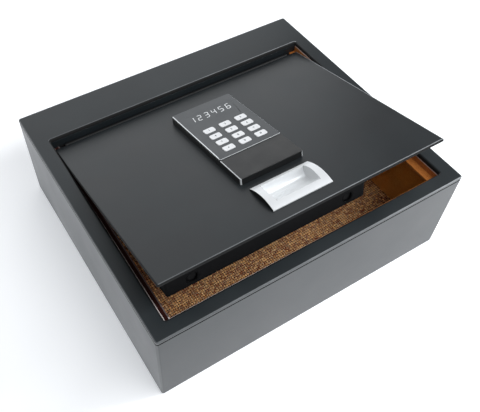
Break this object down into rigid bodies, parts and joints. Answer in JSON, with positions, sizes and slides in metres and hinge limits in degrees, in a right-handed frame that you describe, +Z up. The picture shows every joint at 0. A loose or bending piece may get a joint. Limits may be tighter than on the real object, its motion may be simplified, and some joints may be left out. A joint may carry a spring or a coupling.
{
  "type": "top-loading safe",
  "caption": "Low steel safe with a recessed top lid hinged at the back, a keypad and scooped chrome pull on the lid, and a motor-driven bolt lock in a housing under its front edge.",
  "frame": {"origin": "centre of the underside, on the surface the safe stands on", "axes": "+X to the right as seen from the front, +Y to the hinge at the back, +Z up"},
  "size_m": [0.4, 0.35, 0.1721],
  "materials": {
    "casing_paint": "satin charcoal powder coat",
    "felt": "red-brown felt",
    "carpet": "copper-brown short-pile carpet",
    "plain_steel": "zinc-plated",
    "black_steel": "blackened",
    "keypad_plastic": "fine satin moulding",
    "black_plastic": "black moulding",
    "pad_foam": "closed-cell foam",
    "fascia": "smooth overlay",
    "lens": "smoked window",
    "key_white": "white moulding",
    "chrome": "satin chrome-plated casting",
    "silicone": "grey silicone",
    "board": "green circuit board",
    "brass": "machined",
    "cell_jacket": "printed cell jacket, left plain"
  },
  "bodies": {
    "casing": {"body_shell": "casing_paint", "floor_carpet": "carpet", "frame_leaf_screw_1": "black_steel", "frame_leaf_screw_2": "black_steel", "hinge_frame_leaf": "black_steel", "hinge_pin": "plain_steel", "ledge_felt": "felt", "strike_plate": "black_steel", "top_frame": "casing_paint", "wall_lining_back": "felt", "wall_lining_front": "felt", "wall_lining_left": "felt", "wall_lining_right": "felt"},
    "lid": {"battery_1": "cell_jacket", "battery_2": "cell_jacket", "battery_3": "cell_jacket", "battery_4": "cell_jacket", "battery_door": "black_plastic", "battery_holder": "black_plastic", "board_pad": "pad_foam", "bolt_guide_left": "black_plastic", "bolt_guide_right": "black_plastic", "carriage_pin_1": "plain_steel", "carriage_pin_2": "plain_steel", "cover_screw_1": "black_steel", "cover_screw_2": "black_steel", "cover_screw_3": "black_steel", "cover_screw_4": "black_steel", "display_lens": "lens", "gear_motor": "plain_steel", "handle_nut_left": "plain_steel", "handle_nut_right": "plain_steel", "hinge_lid_leaf": "black_steel", "key_mat": "silicone", "keypad_board": "board", "keypad_fascia": "fascia", "keypad_housing": "keypad_plastic", "lid_leaf_screw_1": "black_steel", "lid_leaf_screw_2": "black_steel", "lid_plate": "casing_paint", "lock_board": "board", "lock_cover": "casing_paint", "motor_bracket": "plain_steel", "pull_handle": "chrome"},
    "bolts": {"bolt_carriage": "plain_steel", "bolt_left": "black_steel", "bolt_right": "black_steel"},
    "pinion": {"drive_pinion": "brass"},
    "key_1_cap": {"key_1": "key_white"},
    "key_2_cap": {"key_2": "key_white"},
    "key_3_cap": {"key_3": "key_white"},
    "key_4_cap": {"key_4": "key_white"},
    "key_5_cap": {"key_5": "key_white"},
    "key_6_cap": {"key_6": "key_white"},
    "key_7_cap": {"key_7": "key_white"},
    "key_8_cap": {"key_8": "key_white"},
    "key_9_cap": {"key_9": "key_white"},
    "key_star_cap": {"key_star": "key_white"},
    "key_0_cap": {"key_0": "key_white"},
    "key_hash_cap": {"key_hash": "key_white"}
  },
  "joints": [
    {"name": "lid_hinge", "type": "hinge", "parent": "casing", "child": "lid", "pos_m": [0, 0.1174, 0.112], "axis": [-1, 0, 0], "range_deg": [-12.3, 77.7]},
    {"name": "bolt_slide", "type": "slide", "parent": "lid", "child": "bolts", "axis": [0, -0.977, 0.213], "range_m": [0, 0.013]},
    {"name": "pinion_spin", "type": "hinge", "parent": "lid", "child": "pinion", "pos_m": [-0.0485, -0.07408, 0.13881], "axis": [1, 0, 0], "range_deg": [0, 125]},
    {"name": "key_1_press", "type": "slide", "parent": "lid", "child": "key_1_cap", "axis": [0, -0.213, -0.977], "range_m": [0, 0.0009], "stiffness_N_per_m": 600, "springref_m": -0.0005},
    {"name": "key_2_press", "type": "slide", "parent": "lid", "child": "key_2_cap", "axis": [0, -0.213, -0.977], "range_m": [0, 0.0009], "stiffness_N_per_m": 600, "springref_m": -0.0005},
    {"name": "key_3_press", "type": "slide", "parent": "lid", "child": "key_3_cap", "axis": [0, -0.213, -0.977], "range_m": [0, 0.0009], "stiffness_N_per_m": 600, "springref_m": -0.0005},
    {"name": "key_4_press", "type": "slide", "parent": "lid", "child": "key_4_cap", "axis": [0, -0.213, -0.977], "range_m": [0, 0.0009], "stiffness_N_per_m": 600, "springref_m": -0.0005},
    {"name": "key_5_press", "type": "slide", "parent": "lid", "child": "key_5_cap", "axis": [0, -0.213, -0.977], "range_m": [0, 0.0009], "stiffness_N_per_m": 600, "springref_m": -0.0005},
    {"name": "key_6_press", "type": "slide", "parent": "lid", "child": "key_6_cap", "axis": [0, -0.213, -0.977], "range_m": [0, 0.0009], "stiffness_N_per_m": 600, "springref_m": -0.0005},
    {"name": "key_7_press", "type": "slide", "parent": "lid", "child": "key_7_cap", "axis": [0, -0.213, -0.977], "range_m": [0, 0.0009], "stiffness_N_per_m": 600, "springref_m": -0.0005},
    {"name": "key_8_press", "type": "slide", "parent": "lid", "child": "key_8_cap", "axis": [0, -0.213, -0.977], "range_m": [0, 0.0009], "stiffness_N_per_m": 600, "springref_m": -0.0005},
    {"name": "key_9_press", "type": "slide", "parent": "lid", "child": "key_9_cap", "axis": [0, -0.213, -0.977], "range_m": [0, 0.0009], "stiffness_N_per_m": 600, "springref_m": -0.0005},
    {"name": "key_star_press", "type": "slide", "parent": "lid", "child": "key_star_cap", "axis": [0, -0.213, -0.977], "range_m": [0, 0.0009], "stiffness_N_per_m": 600, "springref_m": -0.0005},
    {"name": "key_0_press", "type": "slide", "parent": "lid", "child": "key_0_cap", "axis": [0, -0.213, -0.977], "range_m": [0, 0.0009], "stiffness_N_per_m": 600, "springref_m": -0.0005},
    {"name": "key_hash_press", "type": "slide", "parent": "lid", "child": "key_hash_cap", "axis": [0, -0.213, -0.977], "range_m": [0, 0.0009], "stiffness_N_per_m": 600, "springref_m": -0.0005}
  ],
  "couplings": [
    {"joint": "pinion_spin", "follows": "bolt_slide", "rad_per_m": 166.67}
  ]
}
